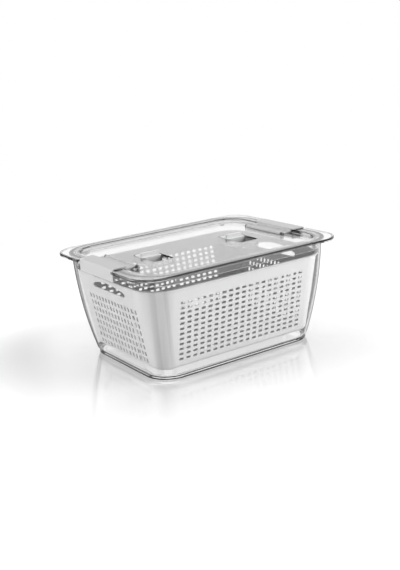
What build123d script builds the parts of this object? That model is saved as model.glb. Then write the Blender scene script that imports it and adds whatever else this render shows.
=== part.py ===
from build123d import *

# A fridge organizer bin: a clear rectangular container with bowed walls, a perforated
# drain basket standing inside it on four feet, a clear lid with a sunken panel, a snap
# clip hinged at each end of the lid, and two sliding air vents in the lid's panel.
#
# Millimetres, +Z up. The origin is on the surface that the bin stands on, under its
# centre. +X runs along the length, so the clips are at -X and +X, and the vents slide
# along Y.

import math
import os

# Overall plan of the lid, which the walls, the slots, the clips and the vents all follow
lid_length = 300.0
lid_width = 226.0
lid_corner = 30.0

# Plan of the walls: every wall follows a rounded rectangle round these corner centres
corner_inset_x = 50.5
corner_inset_y = 46.5
corner_x = lid_length / 2 - corner_inset_x
corner_y = lid_width / 2 - corner_inset_y

# The bowed wall: a curve that stands upright at the rim and leans in towards the foot,
# drawn as a few tangent-like bands so that the four corners stay plain cones
rim_z = 132.5
rim_radius = 40.0
bow_radius = 471.0
bow_bands = 3

# Clear container
container_wall = 2.2
container_floor = 3.0
container_foot_chamfer = 5.0
container_lip_width = 4.0
container_lip_thickness = 2.0
foot_recess_depth = 0.8
foot_rim_width = 9.0

# Drain basket, with flat walls that lean in towards its floor
basket_rim_gap = 3.8
basket_lean = 9.6
basket_wall = 2.0
basket_floor_z = 12.0
basket_floor = 2.0
basket_top_z = 115.0
basket_foot_chamfer = 5.0
basket_lip_width = 2.0
basket_lip_thickness = 2.0
peg_radius = 6.0
peg_inset = 11.5
peg_x = corner_x - peg_inset
peg_y = corner_y - peg_inset

# Drain slots: lying slots on the long walls, standing slots on the end walls. The grid
# is the real one, and every second slot of it is cut, staggered from row to row. The
# margins run from the corner centres to the outermost slots.
side_columns, side_rows = 19, 12
side_margin = 10.4
side_pitch_x = 2 * (corner_x - side_margin) / (side_columns - 1)
side_pitch_z = 6.57
side_slot_length, side_slot_height = 6.2, 3.0
side_first_z = 23.4
end_columns, end_rows = 15, 8
end_margin = 12.18
end_pitch_y = 2 * (corner_y - end_margin) / (end_columns - 1)
end_pitch_z = 9.0
end_slot_width, end_slot_height = 3.4, 6.0
end_first_z = 20.4
floor_columns, floor_rows = 4, 5
floor_margin_x, floor_margin_y = 30.5, 14.5
floor_pitch_x = 2 * (corner_x - floor_margin_x) / (floor_columns - 1)
floor_pitch_y = 2 * (corner_y - floor_margin_y) / (floor_rows - 1)
floor_slot_length, floor_slot_width = 30.0, 3.0

# Finger slot in each end wall of the basket, with an arched top
finger_length = 78.0
finger_low_z = 98.0
finger_end_height = 5.0
finger_mid_height = 10.5
finger_corner = 2.2

# Lid
flange_thickness = 2.5
panel_drop = 5.0
panel_thickness = 2.2
dish_radius = 31.0
dish_wall = 2.2
dish_chamfer = 1.6
plug_radius = 36.5
plug_wall = 2.0
plug_low_z = 121.0
flange_edge_chamfer = 0.9

# Snap clips, drawn at the +X end
clip_width = 82.0
clip_tongue_width = 72.0
clip_plate = 1.8
clip_flap = 2.2
clip_outer_inset = 3.0
clip_outer_x = lid_length / 2 - clip_outer_inset
clip_flap_low_z = 121.0
clip_riser_inset = 20.6
clip_riser_x = lid_length / 2 - clip_riser_inset
clip_over_flange = 0.3
clip_over_panel = 1.0
clip_fold_radius = 1.6
clip_side_clearance = 1.3
clip_face_clearance = 1.2
bead_grip = 0.5
bead_low_z = 122.0
bead_height = 3.0
hinge_inset = 39.0
hinge_x = lid_length / 2 - hinge_inset
hinge_rise = 2.2
barrel_radius = 2.0
stub_radius = 1.2
stub_length = 2.4
hinge_fit = 0.05
lug_gap = 0.3
lug_thickness = 2.5
lug_half_width = 2.6

# Air vents
vent_inset = 33.5
vent_x = corner_x - vent_inset
vent_length_x = 28.0
vent_length_y = 50.0
vent_corner = 4.0
vent_depth = 8.0
vent_wall = 2.4
vent_floor = 1.8
vent_slots = 3
vent_slot_pitch = 6.0
vent_slot_width = 3.2
vent_slot_length = 20.0
vent_slot_first_y = -20.0
slider_length = 24.4
slider_play = 0.3
slider_plate = 1.8
slider_skirt = 1.6
slider_proud = 0.2
tongue_reach = 1.2
tongue_height = 1.1
tongue_low = 3.0
tongue_play = 0.15
grip_length = 26.0
grip_depth = 3.6
grip_height = 4.8
grip_setback = 6.0
grip_fillet = 0.8

# Heights that follow
lid_top_z = rim_z + flange_thickness
panel_top_z = lid_top_z - panel_drop
hinge_z = panel_top_z + hinge_rise
vent_floor_z = panel_top_z - vent_depth
overshoot = 5.0


def bowed_radius(depth_in, z):
    """Distance of the bowed surface from the corner centre at height z, depth_in inside the container's outside."""
    return rim_radius - bow_radius + math.sqrt(
        (bow_radius - depth_in) ** 2 - (rim_z - z) ** 2
    )


def half_section(wall_points, foot_chamfer):
    """Half section from the corner centre out to a wall's points, listed upwards, with a chamfered foot."""
    foot, top = wall_points[0], wall_points[-1]
    outline = Polyline((0, foot[1]), *wall_points, (0, top[1]), close=True)
    section = make_face(outline)
    corner = section.vertices().sort_by_distance((*foot, 0))[0]
    return Plane.XZ * chamfer(corner, foot_chamfer)


def bowed_section(depth_in, low_z, high_z, foot_chamfer):
    """Half section out to the bowed wall, depth_in inside the container's outside."""
    levels = [low_z + (high_z - low_z) * band / bow_bands for band in range(bow_bands + 1)]
    return half_section([(bowed_radius(depth_in, z), z) for z in levels], foot_chamfer)


def basket_radius(z):
    """Distance of the basket's outside from the corner centre at height z."""
    top = bowed_radius(container_wall, basket_top_z) - basket_rim_gap
    return top - (basket_top_z - z) * math.tan(math.radians(basket_lean))


def leaning_section(depth_in, low_z, high_z, foot_chamfer):
    """Half section out to a straight leaning wall, depth_in inside the basket's outside."""
    ends = [(basket_radius(z) - depth_in, z) for z in (low_z, high_z)]
    return half_section(ends, foot_chamfer)


def side_of(section, half_run, offset):
    """One straight wall: the section run along Y and set off along X."""
    return Pos(offset, 0, 0) * extrude(section, half_run, both=True)


def quarter_of(section, x, y):
    """The section turned through the quarter from +X to +Y about a corner centre."""
    return Pos(x, y, 0) * revolve(section, Axis.Z, 90)


def around(section):
    """The four straight walls and four corners that carry one section round the plan."""
    pieces = []
    for turn in (0, 180):
        pieces.append(Rot(0, 0, turn) * side_of(section, corner_y, corner_x))
        pieces.append(Rot(0, 0, turn + 90) * side_of(section, corner_x, corner_y))
        pieces.append(Rot(0, 0, turn) * quarter_of(section, corner_x, corner_y))
        pieces.append(Rot(0, 0, turn + 90) * quarter_of(section, corner_y, corner_x))
    return pieces


def bowed_body(depth_in, low_z, high_z, foot_chamfer):
    """A whole solid with bowed walls on all four sides."""
    section = bowed_section(depth_in, low_z, high_z, foot_chamfer)
    core = Pos(0, 0, (low_z + high_z) / 2) * Box(
        2 * corner_x, 2 * corner_y, high_z - low_z
    )
    return core + around(section)


def plan_plate(radius, low_z, high_z):
    """A flat plate that follows the walls' plan at one corner radius."""
    plan = RectangleRounded(2 * (corner_x + radius), 2 * (corner_y + radius), radius)
    return Pos(0, 0, low_z) * extrude(plan, high_z - low_z)


def block(x0, x1, y0, y1, z0, z1):
    """A box between two corners."""
    return Pos((x0 + x1) / 2, (y0 + y1) / 2, (z0 + z1) / 2) * Box(
        x1 - x0, y1 - y0, z1 - z0
    )


def build_container():
    """The clear outer container: bowed walls, a lip under the lid's flange and a foot ring."""
    outside = bowed_body(0, 0, rim_z, container_foot_chamfer)
    inside = bowed_body(container_wall, container_floor, rim_z, container_foot_chamfer)
    lip = plan_plate(
        rim_radius + container_lip_width, rim_z - container_lip_thickness, rim_z
    )
    foot_inner = bowed_radius(0, 0) - foot_rim_width
    recess = plan_plate(foot_inner, -overshoot, foot_recess_depth)
    return outside + lip - inside - recess


def staggered(columns, rows, pitch_across, pitch_up, first_z):
    """Every second place of a grid centred on the wall, as (across, z), staggered from row to row."""
    places = []
    for column in range(columns):
        for row in range(column % 2, rows, 2):
            across = (column - (columns - 1) / 2) * pitch_across
            places.append((across, first_z + row * pitch_up))
    return places


def side_slots():
    """The lying drain slots of one long wall, laid out across the wall at +Y."""
    wall_y = corner_y + basket_radius(basket_top_z)
    slot = Box(side_slot_length, 2 * rim_radius, side_slot_height)
    places = staggered(side_columns, side_rows, side_pitch_x, side_pitch_z, side_first_z)
    return [Pos(x, wall_y, z) * slot for x, z in places]


def end_slots():
    """The standing drain slots of one end wall, laid out across the wall at +X."""
    wall_x = corner_x + basket_radius(basket_top_z)
    slot = Box(2 * rim_radius, end_slot_width, end_slot_height)
    places = staggered(end_columns, end_rows, end_pitch_y, end_pitch_z, end_first_z)
    return [Pos(wall_x, y, z) * slot for y, z in places]


def finger_slot():
    """The arched hand hold through the basket's end wall at +X."""
    half = finger_length / 2
    low = (-half, finger_low_z), (half, finger_low_z)
    shoulder_z = finger_low_z + finger_end_height
    crown = (0, finger_low_z + finger_mid_height)
    outline = [
        Line(*low),
        Line(low[1], (half, shoulder_z)),
        ThreePointArc((half, shoulder_z), crown, (-half, shoulder_z)),
        Line((-half, shoulder_z), low[0]),
    ]
    arch = make_face(outline)
    arch = fillet(arch.vertices(), finger_corner)
    middle_x = corner_x + basket_radius(finger_low_z)
    return Pos(middle_x, 0, 0) * extrude(Plane.YZ * arch, rim_radius / 2, both=True)


def build_basket():
    """The drain basket: four perforated leaning walls, a slotted floor, a lip and four pegs."""
    outside = leaning_section(0, basket_floor_z, basket_top_z, basket_foot_chamfer)
    inside_low_z = basket_floor_z + basket_floor
    inside_high_z = basket_top_z + overshoot
    inside = leaning_section(basket_wall, inside_low_z, inside_high_z, basket_foot_chamfer)
    lip_outer = basket_radius(basket_top_z) + basket_lip_width
    lip_inner = basket_radius(basket_top_z) - basket_wall / 2
    lip_middle = (lip_outer + lip_inner) / 2, basket_top_z - basket_lip_thickness / 2
    lip = Plane.XZ * Pos(*lip_middle) * Rectangle(
        lip_outer - lip_inner, basket_lip_thickness
    )
    wall = outside - inside + lip

    end_wall = side_of(wall, corner_y, corner_x) - end_slots() - finger_slot()
    turned_slots = [Rot(0, 0, -90) * slot for slot in side_slots()]
    side_wall = side_of(wall, corner_x, corner_y) - turned_slots
    pieces = []
    for turn in (0, 180):
        pieces.append(Rot(0, 0, turn) * end_wall)
        pieces.append(Rot(0, 0, turn + 90) * side_wall)
        pieces.append(Rot(0, 0, turn) * quarter_of(wall, corner_x, corner_y))
        pieces.append(Rot(0, 0, turn + 90) * quarter_of(wall, corner_y, corner_x))

    floor = block(
        -corner_x,
        corner_x,
        -corner_y,
        corner_y,
        basket_floor_z,
        basket_floor_z + basket_floor,
    )
    floor_grid = GridLocations(floor_pitch_x, floor_pitch_y, floor_columns, floor_rows)
    slot = Box(floor_slot_length, floor_slot_width, 4 * basket_floor)
    floor -= [
        Pos(p.position.X, p.position.Y, basket_floor_z + basket_floor / 2) * slot
        for p in floor_grid
    ]
    basket = floor + pieces

    peg = Cylinder(
        peg_radius,
        basket_floor_z - container_floor,
        align=(Align.CENTER, Align.CENTER, Align.MIN),
    )
    for x in (-peg_x, peg_x):
        for y in (-peg_y, peg_y):
            basket += Pos(x, y, container_floor) * peg
    return basket


def vent_well():
    """The outside of one vent's well, which hangs under the lid's panel."""
    outer_x = vent_length_x + 2 * vent_wall
    outer_y = vent_length_y + 2 * vent_wall
    well = RectangleRounded(outer_x, outer_y, vent_corner + vent_wall)
    low_z = vent_floor_z - vent_floor
    return Pos(0, 0, low_z) * extrude(well, panel_top_z - low_z)


def vent_cut():
    """What is cut out of one well: the pocket, its two guide grooves and the air slots in its floor."""
    pocket = RectangleRounded(vent_length_x, vent_length_y, vent_corner)
    cut = Pos(0, 0, vent_floor_z) * extrude(pocket, vent_depth + overshoot)
    groove_low = vent_floor_z + tongue_low - tongue_play
    groove_high = vent_floor_z + tongue_low + tongue_height + tongue_play
    groove_half_x = vent_length_x / 2 + tongue_reach + tongue_play - slider_play
    groove_half_y = vent_length_y / 2 - vent_corner
    cut += block(
        -groove_half_x,
        groove_half_x,
        -groove_half_y,
        groove_half_y,
        groove_low,
        groove_high,
    )
    for index in range(vent_slots):
        y = vent_slot_first_y + index * vent_slot_pitch
        cut += block(
            -vent_slot_length / 2,
            vent_slot_length / 2,
            y - vent_slot_width / 2,
            y + vent_slot_width / 2,
            vent_floor_z - vent_floor - overshoot,
            vent_floor_z + overshoot,
        )
    return cut


def hinge_lug():
    """One lug of a clip's hinge, standing on the panel in the XZ plane, with its bore."""
    top_z = hinge_z + lug_half_width
    foot = block(
        hinge_x - lug_half_width,
        hinge_x + lug_half_width,
        -lug_thickness / 2,
        lug_thickness / 2,
        panel_top_z - panel_thickness / 2,
        hinge_z,
    )
    eye = Pos(hinge_x, 0, hinge_z) * Rot(90, 0, 0) * Cylinder(
        top_z - hinge_z, lug_thickness
    )
    bore = Pos(hinge_x, 0, hinge_z) * Rot(90, 0, 0) * Cylinder(
        stub_radius + hinge_fit, 2 * lug_thickness
    )
    return foot + eye - bore


def build_lid():
    """The clear lid: flange, sunken panel, plug skirt, vent wells and the clips' hinge lugs."""
    flange = Pos(0, 0, rim_z) * extrude(
        RectangleRounded(lid_length, lid_width, lid_corner), flange_thickness
    )
    top_edges = flange.faces().sort_by(Axis.Z)[-1].edges()
    flange = chamfer(top_edges, flange_edge_chamfer)
    dish = plan_plate(dish_radius + dish_wall, panel_top_z - panel_thickness, rim_z)
    hollow = plan_plate(dish_radius, panel_top_z, lid_top_z + overshoot)
    hollow = chamfer(hollow.faces().sort_by(Axis.Z)[0].edges(), dish_chamfer)
    plug = plan_plate(plug_radius, plug_low_z, rim_z)
    plug -= plan_plate(plug_radius - plug_wall, plug_low_z - overshoot, rim_z)
    lid = flange + plug + dish - hollow
    for x in (-vent_x, vent_x):
        lid = lid + Pos(x, 0, 0) * vent_well() - Pos(x, 0, 0) * vent_cut()

    lug_y = clip_tongue_width / 2 + lug_gap + lug_thickness / 2
    notch_half_y = clip_width / 2 + clip_side_clearance
    for turn in (0, 180):
        for y in (-lug_y, lug_y):
            lid += Rot(0, 0, turn) * Pos(0, y, 0) * hinge_lug()
        lid -= Rot(0, 0, turn) * block(
            clip_outer_x - clip_flap - clip_face_clearance,
            lid_length,
            -notch_half_y,
            notch_half_y,
            rim_z - overshoot,
            lid_top_z + overshoot,
        )
    return lid


def build_clip():
    """The snap clip at the +X end: hinge barrel, tongue, riser, cover plate and hooked flap."""
    tongue_low_z = panel_top_z + clip_over_panel
    cover_low_z = lid_top_z + clip_over_flange
    cover_top_z = cover_low_z + clip_plate
    half = clip_width / 2
    half_tongue = clip_tongue_width / 2
    riser_inner_x = clip_riser_x - clip_plate
    flap_inner_x = clip_outer_x - clip_flap

    tongue = block(
        hinge_x,
        clip_riser_x,
        -half_tongue,
        half_tongue,
        tongue_low_z,
        tongue_low_z + clip_plate,
    )
    riser = block(
        riser_inner_x,
        clip_riser_x,
        -half_tongue,
        half_tongue,
        tongue_low_z,
        cover_top_z,
    )
    cover = block(riser_inner_x, clip_outer_x, -half, half, cover_low_z, cover_top_z)
    flap = block(flap_inner_x, clip_outer_x, -half, half, clip_flap_low_z, cover_top_z)
    cover += flap
    fold = cover.edges().filter_by(Axis.Y).sort_by_distance(
        (clip_outer_x, 0, cover_top_z)
    )[0]
    cover = fillet(fold, clip_fold_radius)

    bead_tip_x = corner_x + rim_radius + container_lip_width - bead_grip
    bead_top_z = bead_low_z + bead_height
    bead_outline = Polyline(
        (flap_inner_x, bead_low_z),
        (bead_tip_x, bead_low_z + bead_height / 2),
        (flap_inner_x, bead_top_z),
        close=True,
    )
    bead = extrude(Plane.XZ * make_face(bead_outline), half, both=True)
    barrel = Pos(hinge_x, 0, hinge_z) * Rot(90, 0, 0) * Cylinder(
        barrel_radius, clip_tongue_width
    )
    stub = Pos(hinge_x, 0, hinge_z) * Rot(90, 0, 0) * Cylinder(
        stub_radius, clip_tongue_width + 2 * stub_length
    )
    return tongue + riser + cover + bead + barrel + stub


def build_slider():
    """One vent slider in its open place: an inverted tray with guide tongues and a grip bar."""
    half_x = vent_length_x / 2 - slider_play
    back_y = vent_length_y / 2 - slider_play
    front_y = back_y - slider_length
    low_z = vent_floor_z + slider_play
    top_z = panel_top_z + slider_proud
    tray = block(-half_x, half_x, front_y, back_y, low_z, top_z)
    upright = tray.edges().filter_by(Axis.Z)
    tray = fillet(upright, vent_corner - slider_play)
    tray -= block(
        -half_x + slider_skirt,
        half_x - slider_skirt,
        front_y + slider_skirt,
        back_y - slider_skirt,
        low_z - overshoot,
        top_z - slider_plate,
    )
    tongue_low_z = vent_floor_z + tongue_low
    for side in (-1, 1):
        inner_x = side * (half_x - slider_skirt / 2)
        outer_x = side * (half_x + tongue_reach)
        tray += block(
            min(inner_x, outer_x),
            max(inner_x, outer_x),
            front_y + vent_corner,
            back_y - vent_corner,
            tongue_low_z,
            tongue_low_z + tongue_height,
        )
    grip_front = front_y + grip_setback
    grip = block(
        -grip_length / 2,
        grip_length / 2,
        grip_front,
        grip_front + grip_depth,
        top_z - slider_plate / 2,
        top_z + grip_height,
    )
    crown = grip.faces().sort_by(Axis.Z)[-1].edges().filter_by(Axis.X)
    grip = fillet(crown, grip_fillet)
    return tray + grip


clip = build_clip()
slider = build_slider()
nodes = {
    "container": build_container(),
    "drain_basket": build_basket(),
    "lid": build_lid(),
    "clip_right": clip,
    "clip_left": Rot(0, 0, 180) * clip,
    "vent_slider_right": Pos(vent_x, 0, 0) * slider,
    "vent_slider_left": Pos(-vent_x, 0, 0) * slider,
}

os.makedirs("parts", exist_ok=True)
for name, solid in nodes.items():
    export_step(solid, f"parts/{name}.step")
    box = solid.bounding_box().size
    print(name, round(box.X, 1), round(box.Y, 1), round(box.Z, 1))
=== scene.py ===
"""A fridge organizer bin: clear container, drain basket, vented lid, two snap clips and two vent sliders.

Every piece is modelled in millimetres in the bin's own frame, and its mesh is brought to metres at the end.
"""

import logging
import math
from dataclasses import dataclass, field
from enum import Enum

import bmesh
import bpy
from mathutils import Matrix, Vector


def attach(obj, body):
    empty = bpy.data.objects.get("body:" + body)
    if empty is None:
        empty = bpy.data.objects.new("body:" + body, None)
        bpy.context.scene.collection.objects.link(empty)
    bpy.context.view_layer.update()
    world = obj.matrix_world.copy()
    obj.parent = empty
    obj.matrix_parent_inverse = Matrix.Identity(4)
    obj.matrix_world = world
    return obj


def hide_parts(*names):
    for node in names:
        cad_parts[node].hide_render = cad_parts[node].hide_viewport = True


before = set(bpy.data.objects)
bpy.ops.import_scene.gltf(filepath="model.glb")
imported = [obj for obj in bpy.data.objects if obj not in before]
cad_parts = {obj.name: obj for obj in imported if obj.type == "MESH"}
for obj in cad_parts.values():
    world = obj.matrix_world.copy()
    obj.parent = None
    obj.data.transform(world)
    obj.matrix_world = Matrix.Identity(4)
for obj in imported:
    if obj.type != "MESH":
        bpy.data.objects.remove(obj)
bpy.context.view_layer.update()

MM = 0.001
WELD = 0.002
LEVEL = 1.0
CREASE = 32.0
FLAT_FACE_WEIGHT = 80
SLOT_POINTS = 12
UP = (0.0, 0.0, 1.0)

log = logging.getLogger("organizer_bin")
Point = tuple[float, float]
Colour = tuple[float, float, float]
NodeValue = float | tuple[float, ...] | bpy.types.NodeSocket
NodeInputs = dict[str | int, NodeValue]
MeshItem = bmesh.types.BMVert | bmesh.types.BMEdge | bmesh.types.BMFace


class Body(Enum):
    """The rigid bodies that the pieces ride on."""

    CONTAINER = "container"
    BASKET = "basket"
    LID = "lid"
    CLIP_LEFT = "clip_left"
    CLIP_RIGHT = "clip_right"
    VENT_LEFT = "vent_left"
    VENT_RIGHT = "vent_right"


class Side(Enum):
    """The two ends of the bin, with the turn about the upright axis that carries the +X end there."""

    RIGHT = 0.0
    LEFT = math.pi


# Node helpers


def grey(level: float) -> Colour:
    """A neutral colour."""
    return (level, level, level)


def add_node(
    tree: bpy.types.NodeTree, kind: str, inputs: NodeInputs | None = None,
    **options: str | bpy.types.NodeTree,
) -> bpy.types.Node:
    """Adds a node to a tree, with its options set and its inputs fed.

    Args:
        tree: the tree that takes the node.
        kind: the node's type.
        inputs: a constant, or a socket to link, for an input's name or number.
        options: the node's own choices, such as its operation or its group.

    Returns:
        The new node.
    """
    node = tree.nodes.new(kind)
    for option, choice in options.items():
        setattr(node, option, choice)
    for key, value in (inputs or {}).items():
        if isinstance(value, bpy.types.NodeSocket):
            tree.links.new(value, node.inputs[key])
        else:
            node.inputs[key].default_value = value
    return node


def reckon(tree: bpy.types.NodeTree, operation: str, *operands: NodeValue) -> bpy.types.NodeSocket:
    """Adds a Math node.

    Args:
        tree: the tree that takes the node.
        operation: what the node works out.
        operands: constants or sockets, in the order of its inputs.

    Returns:
        The socket that gives the result.
    """
    return add_node(tree, "ShaderNodeMath", dict(enumerate(operands)), operation=operation).outputs[0]


def reckon_vector(tree: bpy.types.NodeTree, operation: str, *operands: NodeValue) -> bpy.types.Node:
    """Adds a Vector Math node.

    Args:
        tree: the tree that takes the node.
        operation: what the node works out.
        operands: constants or sockets, in the order of its inputs.

    Returns:
        The node, whose result is a vector or, for a length or a dot product, a value.
    """
    return add_node(tree, "ShaderNodeVectorMath", dict(enumerate(operands)), operation=operation)


# Shared node groups


def shader_group(name: str, inputs: dict[str, float], outputs: dict[str, str]) -> bpy.types.NodeTree:
    """Starts a shader node group with named float inputs and typed outputs.

    Args:
        name: name of the group.
        inputs: default value of each float input.
        outputs: socket type of each output.

    Returns:
        The group, holding only its input and output nodes.
    """
    group = bpy.data.node_groups.new(name, "ShaderNodeTree")
    for label, value in inputs.items():
        socket = group.interface.new_socket(label, in_out="INPUT", socket_type="NodeSocketFloat")
        socket.default_value = value
    for label, kind in outputs.items():
        group.interface.new_socket(label, in_out="OUTPUT", socket_type=kind)
    group.nodes.new("NodeGroupInput")
    group.nodes.new("NodeGroupOutput")
    return group


def moulded_grain_group() -> bpy.types.NodeTree:
    """The fine spark-eroded grain and slow shade drift of an opaque moulded plastic.

    Returns:
        A group that gives a height for a bump, a roughness and a shade factor.
    """
    group = shader_group(
        "moulded_grain",
        {"Grain": 2400.0, "Roughness": 0.45, "Spread": 0.08, "Drift": 0.02},
        {"Height": "NodeSocketFloat", "Roughness": "NodeSocketFloat", "Shade": "NodeSocketFloat"},
    )
    entry, leave = group.nodes["Group Input"].outputs, group.nodes["Group Output"].inputs
    place = add_node(group, "ShaderNodeTexCoord").outputs["Object"]
    grain = add_node(
        group, "ShaderNodeTexNoise", {"Vector": place, "Scale": entry["Grain"], "Detail": 3.0}
    )
    group.links.new(grain.outputs["Fac"], leave["Height"])
    patch = add_node(group, "ShaderNodeTexNoise", {"Vector": place, "Scale": 22.0, "Detail": 4.0})
    centred = reckon(group, "SUBTRACT", patch.outputs["Fac"], 0.5)
    rough = reckon(group, "MULTIPLY_ADD", centred, entry["Spread"], entry["Roughness"])
    group.links.new(rough, leave["Roughness"])
    shade = reckon(group, "MULTIPLY_ADD", centred, entry["Drift"], 1.0)
    group.links.new(shade, leave["Shade"])
    return group


def flow_ripple_group() -> bpy.types.NodeTree:
    """The faint flow waves and handling haze of a polished clear moulding.

    Returns:
        A group that gives a height for a bump and a roughness.
    """
    group = shader_group(
        "flow_ripple",
        {"Wave": 14.0, "Roughness": 0.02, "Haze": 0.03},
        {"Height": "NodeSocketFloat", "Roughness": "NodeSocketFloat"},
    )
    entry, leave = group.nodes["Group Input"].outputs, group.nodes["Group Output"].inputs
    place = add_node(group, "ShaderNodeTexCoord").outputs["Object"]
    wave = add_node(group, "ShaderNodeTexNoise", {"Vector": place, "Scale": entry["Wave"], "Detail": 1.0})
    group.links.new(wave.outputs["Fac"], leave["Height"])
    haze = add_node(group, "ShaderNodeTexNoise", {"Vector": place, "Scale": 60.0, "Detail": 5.0})
    patches = add_node(
        group, "ShaderNodeMapRange", {"Value": haze.outputs["Fac"], "From Min": 0.45, "From Max": 0.75}
    )
    rough = reckon(group, "MULTIPLY_ADD", patches.outputs["Result"], entry["Haze"], entry["Roughness"])
    group.links.new(rough, leave["Roughness"])
    return group


# Finishes


def empty_material(name: str) -> tuple[bpy.types.Material, bpy.types.Node, bpy.types.Node]:
    """A node material with its Principled shader and output.

    Args:
        name: name of the material.

    Returns:
        The material, its shader node and its output node.
    """
    material = bpy.data.materials.new(name)
    material.use_nodes = True
    nodes = material.node_tree.nodes
    return material, nodes["Principled BSDF"], nodes["Material Output"]


@dataclass(frozen=True)
class OpaquePlastic:
    """An opaque moulded plastic with a fine grain."""

    name: str
    colour: Colour
    roughness: float
    grain: float
    grain_depth: float = 0.0001
    grain_strength: float = 0.15
    ior: float = 1.46

    def make(self, grain_group: bpy.types.NodeTree) -> bpy.types.Material:
        """Builds the material.

        Args:
            grain_group: the shared moulded grain group.

        Returns:
            The finished material.
        """
        material, shader, _ = empty_material(self.name)
        tree = material.node_tree
        grain = add_node(tree, "ShaderNodeGroup", node_tree=grain_group)
        grain.inputs["Grain"].default_value = self.grain
        grain.inputs["Roughness"].default_value = self.roughness
        tint = add_node(
            tree, "ShaderNodeMix",
            {"Factor": 1.0, "A": (*self.colour, 1.0), "B": grain.outputs["Shade"]},
            data_type="RGBA", blend_type="MULTIPLY",
        )
        bump = add_node(
            tree, "ShaderNodeBump",
            {
                "Strength": self.grain_strength, "Distance": self.grain_depth,
                "Height": grain.outputs["Height"],
            },
        )
        tree.links.new(tint.outputs["Result"], shader.inputs["Base Color"])
        tree.links.new(grain.outputs["Roughness"], shader.inputs["Roughness"])
        tree.links.new(bump.outputs["Normal"], shader.inputs["Normal"])
        shader.inputs["IOR"].default_value = self.ior
        return material


@dataclass(frozen=True)
class ClearPlastic:
    """A polished clear plastic that lets lamp light through to what it holds."""

    name: str
    colour: Colour
    ripple_depth: float
    shadow: Colour
    coat: float
    ripple_strength: float = 0.2
    ior: float = 1.49

    def make(self, ripple_group: bpy.types.NodeTree) -> bpy.types.Material:
        """Builds the material.

        Args:
            ripple_group: the shared flow ripple group.

        Returns:
            The finished material.
        """
        material, shader, output = empty_material(self.name)
        tree = material.node_tree
        ripple = add_node(tree, "ShaderNodeGroup", node_tree=ripple_group)
        bump = add_node(
            tree, "ShaderNodeBump",
            {
                "Strength": self.ripple_strength, "Distance": self.ripple_depth,
                "Height": ripple.outputs["Height"],
            },
        )
        shader.inputs["Base Color"].default_value = (*self.colour, 1.0)
        shader.inputs["Transmission Weight"].default_value = 1.0
        shader.inputs["IOR"].default_value = self.ior
        shader.inputs["Coat Weight"].default_value = self.coat
        tree.links.new(ripple.outputs["Roughness"], shader.inputs["Roughness"])
        tree.links.new(bump.outputs["Normal"], shader.inputs["Normal"])
        path = add_node(tree, "ShaderNodeLightPath").outputs
        light = reckon(tree, "MAXIMUM", path["Is Shadow Ray"], path["Is Diffuse Ray"])
        clear = add_node(tree, "ShaderNodeBsdfTransparent", {"Color": (*self.shadow, 1.0)})
        shaders = {"Fac": light, 1: shader.outputs["BSDF"], 2: clear.outputs["BSDF"]}
        mix = add_node(tree, "ShaderNodeMixShader", shaders)
        tree.links.new(mix.outputs["Shader"], output.inputs["Surface"])
        return material


CLEAR_CONTAINER = ClearPlastic(
    "clear_container", grey(0.985), ripple_depth=0.00004, shadow=grey(0.96), coat=0.0
)
# Painted shade: the lid's shadow colour is far darker than its clear body, so less lamp and bounce light
# reaches the basket's inside and its slots look darker.
CLEAR_LID = ClearPlastic("clear_lid", grey(0.97), ripple_depth=0.0001, shadow=grey(0.12), coat=0.5)
WHITE_BASKET = OpaquePlastic("white_basket", grey(0.78), roughness=0.42, grain=1800.0)
GREY_CLIP = OpaquePlastic("grey_clip", grey(0.55), roughness=0.5, grain=2600.0)
# Painted light: the slider is the same grey plastic as the clips, but its grey is painted lighter to make up
# for the shade it gets inside the lid's well.
GREY_SLIDER_PAINTED_LIGHT = OpaquePlastic("grey_slider_painted_light", grey(0.74), roughness=0.5, grain=2600.0)


@dataclass
class Palette:
    """The finishes of the bin, built once and shared by its pieces."""

    container: bpy.types.Material = field(init=False)
    lid: bpy.types.Material = field(init=False)
    basket: bpy.types.Material = field(init=False)
    clip: bpy.types.Material = field(init=False)
    # The slider's grey is painted lighter than the clip's grey to make up for shade in the lid's well.
    slider: bpy.types.Material = field(init=False)

    def __post_init__(self) -> None:
        """Builds the shared groups and every finish."""
        grain, ripple = moulded_grain_group(), flow_ripple_group()
        self.container = CLEAR_CONTAINER.make(ripple)
        self.lid = CLEAR_LID.make(ripple)
        self.basket = WHITE_BASKET.make(grain)
        self.clip = GREY_CLIP.make(grain)
        self.slider = GREY_SLIDER_PAINTED_LIGHT.make(grain)


# Mesh helpers


def merge_into(target: bmesh.types.BMesh, part: bmesh.types.BMesh) -> None:
    """Adds one bmesh to another and frees it.

    Args:
        target: the bmesh that grows.
        part: the bmesh that is added.
    """
    mesh = bpy.data.meshes.new("part")
    part.to_mesh(mesh)
    part.free()
    target.from_mesh(mesh)
    bpy.data.meshes.remove(mesh)


def move(shape: bmesh.types.BMesh, x: float = 0.0, y: float = 0.0, z: float = 0.0) -> bmesh.types.BMesh:
    """Moves a whole shape.

    Args:
        shape: the bmesh to move.
        x: how far along X.
        y: how far along Y.
        z: how far up.

    Returns:
        The same bmesh.
    """
    bmesh.ops.translate(shape, verts=shape.verts, vec=(x, y, z))
    return shape


def close_shape(shape: bmesh.types.BMesh) -> bmesh.types.BMesh:
    """Welds a shape's seams and turns its faces outwards.

    Args:
        shape: the bmesh to close.

    Returns:
        The same bmesh.
    """
    bmesh.ops.remove_doubles(shape, verts=shape.verts, dist=WELD)
    bmesh.ops.recalc_face_normals(shape, faces=shape.faces)
    return shape


def chain(shape: bmesh.types.BMesh, places: list[Vector], closed: bool) -> list[bmesh.types.BMEdge]:
    """Draws a chain of edges.

    Args:
        shape: the bmesh that takes the chain.
        places: the chain's points in order.
        closed: whether the last point joins the first.

    Returns:
        The new edges.
    """
    corners = [shape.verts.new(place) for place in places]
    pairs = list(zip(corners, corners[1:]))
    if closed:
        pairs.append((corners[-1], corners[0]))
    return [shape.edges.new(pair) for pair in pairs]


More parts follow.
